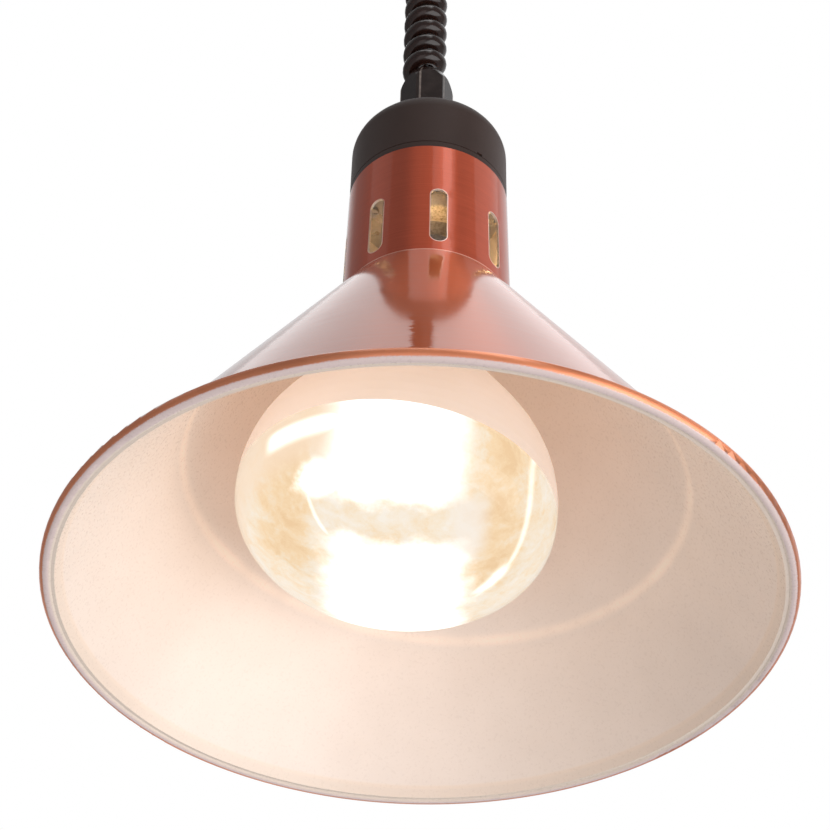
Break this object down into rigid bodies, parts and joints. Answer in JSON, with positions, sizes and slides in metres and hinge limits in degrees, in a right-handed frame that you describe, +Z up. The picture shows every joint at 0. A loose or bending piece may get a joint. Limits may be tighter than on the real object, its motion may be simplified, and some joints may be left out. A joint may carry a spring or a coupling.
{
  "type": "pendant heat lamp",
  "caption": "Rise-and-fall pendant heat lamp: copper cone shade and slotted neck with a reflector bulb, hung on a coiled cord and wire from a ceiling reel canopy.",
  "frame": {"origin": "centre of the ceiling mounting plate's top face, which lies against the ceiling; the hanging wire runs down the Z axis", "axes": "+Z up into the ceiling, so the lamp hangs at negative Z; -Y is the front that faces the viewer and +X is the viewer's right"},
  "size_m": [0.28, 0.28, 0.7416],
  "materials": {
    "zinc_steel": "zinc plated, lightly stained",
    "canopy_paint": "black powder coat",
    "dark_steel": "blackened steel",
    "spring_steel": "blued spring strip",
    "spool_plastic": "natural acetal",
    "wire_rope": "stranded steel wire",
    "terminal_plastic": "ivory polyamide",
    "brass_part": "turned brass",
    "gland_black": "black polyamide",
    "seal_rubber": "black neoprene",
    "cord_black": "glossy black sheath",
    "lead_sleeve": "glass-braided heat-resistant sleeve",
    "cap_black": "soft-touch moulded resin",
    "copper": "circumferentially brushed copper under clear lacquer",
    "shade_copper": "brushed copper outside under clear lacquer, white enamel inside",
    "porcelain": "cream glazed porcelain",
    "ring_grey": "galvanised",
    "nickel": "nickelled aluminium",
    "black_glass": "dark vitrite",
    "mirror_glass": "satin glass with a vapour-deposited mirror inside",
    "face_glass": "clear pressed front, mottled warm glow",
    "tungsten": "glowing tungsten",
    "stem_glass": "clear glass stem with support wires"
  },
  "bodies": {
    "ceiling": {"mounting_plate": "zinc_steel", "canopy": "canopy_paint", "canopy_screws": "dark_steel", "reel_bracket": "zinc_steel", "reel_axle": "zinc_steel", "axle_clips": "dark_steel", "spring_case": "zinc_steel", "power_spring": "spring_steel", "terminal_block": "terminal_plastic", "terminal_screws": "brass_part", "canopy_cord_tail": "cord_black", "canopy_gland_body": "gland_black", "canopy_gland_nut": "gland_black", "canopy_gland_seal": "seal_rubber", "canopy_gland_locknut": "gland_black", "suspension_wire": "wire_rope", "curly_cord": "cord_black"},
    "reel": {"wire_spool": "spool_plastic", "wound_wire": "wire_rope"},
    "lamp_head": {"head_gland_body": "gland_black", "head_gland_nut": "gland_black", "head_gland_seal": "seal_rubber", "head_gland_locknut": "gland_black", "wire_stop": "zinc_steel", "head_cord_tail": "cord_black", "lead_wires": "lead_sleeve", "top_cap": "cap_black", "clamp_collar": "cap_black", "neck_tube": "copper", "shade_cone": "shade_copper", "clamp_plate": "zinc_steel", "clamp_screws": "zinc_steel", "holder_bracket": "zinc_steel", "bracket_screws": "zinc_steel", "holder_nipple": "brass_part", "nipple_nut": "brass_part", "lampholder": "porcelain", "holder_ring": "ring_grey", "holder_shell": "brass_part", "holder_contact": "brass_part"},
    "bulb_travel": {"tip_contact": "nickel"},
    "bulb": {"bulb_base": "nickel", "base_insulator": "black_glass", "bulb_reflector": "mirror_glass", "bulb_face": "face_glass", "filament": "tungsten", "filament_stem": "stem_glass"}
  },
  "joints": [
    {"name": "rise_and_fall", "type": "slide", "parent": "ceiling", "child": "lamp_head", "axis": [0, 0, -1], "range_m": [0, 0.65], "deforming": ["curly_cord", "suspension_wire"]},
    {"name": "reel_turn", "type": "hinge", "parent": "ceiling", "child": "reel", "pos_m": [0, 0.01862, -0.036], "axis": [1, 0, 0], "range_deg": [0, 2100]},
    {"name": "bulb_out", "type": "slide", "parent": "lamp_head", "child": "bulb_travel", "axis": [-0.0906, 0, -0.9959], "range_m": [0, 0.022]},
    {"name": "bulb_unscrew", "type": "hinge", "parent": "bulb_travel", "child": "bulb", "pos_m": [0.0018, 0, -0.5837], "axis": [-0.0906, 0, -0.9959], "range_deg": [0, 2200]}
  ],
  "couplings": [
    {"joint": "reel_turn", "follows": "rise_and_fall", "rad_per_m": 54.615},
    {"joint": "bulb_unscrew", "follows": "bulb_out", "rad_per_m": 1735.7}
  ]
}
